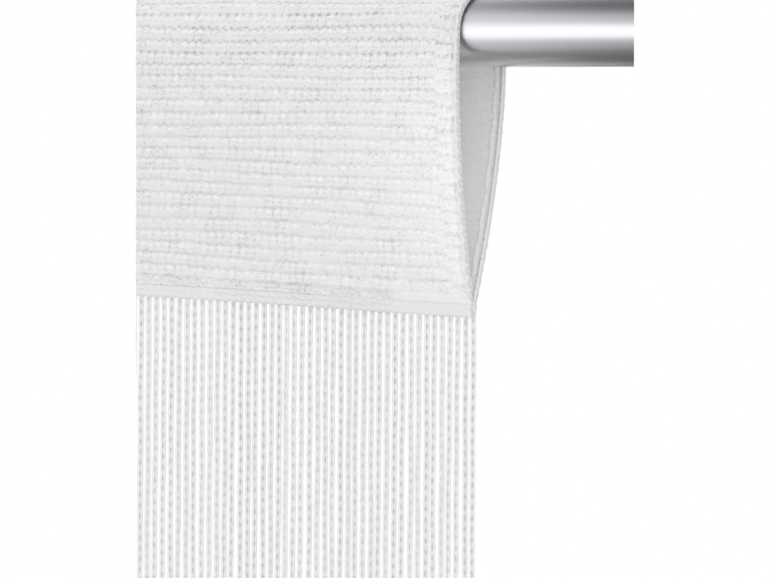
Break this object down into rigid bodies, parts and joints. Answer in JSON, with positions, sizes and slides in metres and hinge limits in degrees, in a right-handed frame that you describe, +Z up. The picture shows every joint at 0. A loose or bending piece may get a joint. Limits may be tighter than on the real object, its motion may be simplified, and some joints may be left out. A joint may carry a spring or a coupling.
{
  "type": "string curtain",
  "caption": "Knitted string curtain: a heading with an open rod pocket, hanging from a round rod, and free-swinging strings below its hem.",
  "frame": {"origin": "on the rod's axis at mid length, where brackets hold the rod", "axes": "+X along the rod to the right seen from the front, +Z up, front of the curtain facing -Y"},
  "size_m": [1.0646, 0.0244, 2.0007],
  "materials": {
    "rod_aluminium": "satin, drawn along its length",
    "plug_plastic": "fine grain",
    "knit": "white knit with cross rows",
    "hem_knit": "plain close knit",
    "edge_thread": "overlocked edge thread",
    "seam_thread": "chain-stitched seam thread",
    "string_yarn": "knitted chain yarn"
  },
  "bodies": {
    "rod": {"curtain_rod": "rod_aluminium", "rod_plug_left": "plug_plastic", "rod_plug_right": "plug_plastic"},
    "heading": {"rod_pocket": "knit", "hem_band": "hem_knit", "hem_seam_front": "seam_thread", "hem_seam_back": "seam_thread", "selvedge_left": "edge_thread", "selvedge_right": "edge_thread"},
    "strings_01": {"string_panel_01": "string_yarn"},
    "strings_02": {"string_panel_02": "string_yarn"},
    "strings_03": {"string_panel_03": "string_yarn"},
    "strings_04": {"string_panel_04": "string_yarn"},
    "strings_05": {"string_panel_05": "string_yarn"},
    "strings_06": {"string_panel_06": "string_yarn"},
    "strings_07": {"string_panel_07": "string_yarn"},
    "strings_08": {"string_panel_08": "string_yarn"},
    "strings_09": {"string_panel_09": "string_yarn"},
    "strings_10": {"string_panel_10": "string_yarn"},
    "strings_11": {"string_panel_11": "string_yarn"},
    "strings_12": {"string_panel_12": "string_yarn"},
    "strings_13": {"string_panel_13": "string_yarn"},
    "strings_14": {"string_panel_14": "string_yarn"},
    "strings_15": {"string_panel_15": "string_yarn"},
    "strings_16": {"string_panel_16": "string_yarn"}
  },
  "joints": [
    {"name": "heading_slide", "type": "slide", "parent": "rod", "child": "heading", "axis": [1, 0, 0], "range_m": [-0.06, 0.06]},
    {"name": "strings_01_swing", "type": "hinge", "parent": "heading", "child": "strings_01", "pos_m": [-0.42525, 0, -0.07943], "axis": [1, 0, 0], "range_deg": [-70, 70]},
    {"name": "strings_02_swing", "type": "hinge", "parent": "heading", "child": "strings_02", "pos_m": [-0.36855, 0, -0.07943], "axis": [1, 0, 0], "range_deg": [-70, 70]},
    {"name": "strings_03_swing", "type": "hinge", "parent": "heading", "child": "strings_03", "pos_m": [-0.31185, 0, -0.07943], "axis": [1, 0, 0], "range_deg": [-70, 70]},
    {"name": "strings_04_swing", "type": "hinge", "parent": "heading", "child": "strings_04", "pos_m": [-0.25515, 0, -0.07943], "axis": [1, 0, 0], "range_deg": [-70, 70]},
    {"name": "strings_05_swing", "type": "hinge", "parent": "heading", "child": "strings_05", "pos_m": [-0.19845, 0, -0.07943], "axis": [1, 0, 0], "range_deg": [-70, 70]},
    {"name": "strings_06_swing", "type": "hinge", "parent": "heading", "child": "strings_06", "pos_m": [-0.14175, 0, -0.07943], "axis": [1, 0, 0], "range_deg": [-70, 70]},
    {"name": "strings_07_swing", "type": "hinge", "parent": "heading", "child": "strings_07", "pos_m": [-0.08505, 0, -0.07943], "axis": [1, 0, 0], "range_deg": [-70, 70]},
    {"name": "strings_08_swing", "type": "hinge", "parent": "heading", "child": "strings_08", "pos_m": [-0.02835, 0, -0.07943], "axis": [1, 0, 0], "range_deg": [-70, 70]},
    {"name": "strings_09_swing", "type": "hinge", "parent": "heading", "child": "strings_09", "pos_m": [0.02835, 0, -0.07943], "axis": [1, 0, 0], "range_deg": [-70, 70]},
    {"name": "strings_10_swing", "type": "hinge", "parent": "heading", "child": "strings_10", "pos_m": [0.08505, 0, -0.07943], "axis": [1, 0, 0], "range_deg": [-70, 70]},
    {"name": "strings_11_swing", "type": "hinge", "parent": "heading", "child": "strings_11", "pos_m": [0.14175, 0, -0.07943], "axis": [1, 0, 0], "range_deg": [-70, 70]},
    {"name": "strings_12_swing", "type": "hinge", "parent": "heading", "child": "strings_12", "pos_m": [0.19845, 0, -0.07943], "axis": [1, 0, 0], "range_deg": [-70, 70]},
    {"name": "strings_13_swing", "type": "hinge", "parent": "heading", "child": "strings_13", "pos_m": [0.25515, 0, -0.07943], "axis": [1, 0, 0], "range_deg": [-70, 70]},
    {"name": "strings_14_swing", "type": "hinge", "parent": "heading", "child": "strings_14", "pos_m": [0.31185, 0, -0.07943], "axis": [1, 0, 0], "range_deg": [-70, 70]},
    {"name": "strings_15_swing", "type": "hinge", "parent": "heading", "child": "strings_15", "pos_m": [0.36855, 0, -0.07943], "axis": [1, 0, 0], "range_deg": [-70, 70]},
    {"name": "strings_16_swing", "type": "hinge", "parent": "heading", "child": "strings_16", "pos_m": [0.42525, 0, -0.07943], "axis": [1, 0, 0], "range_deg": [-70, 70]}
  ]
}
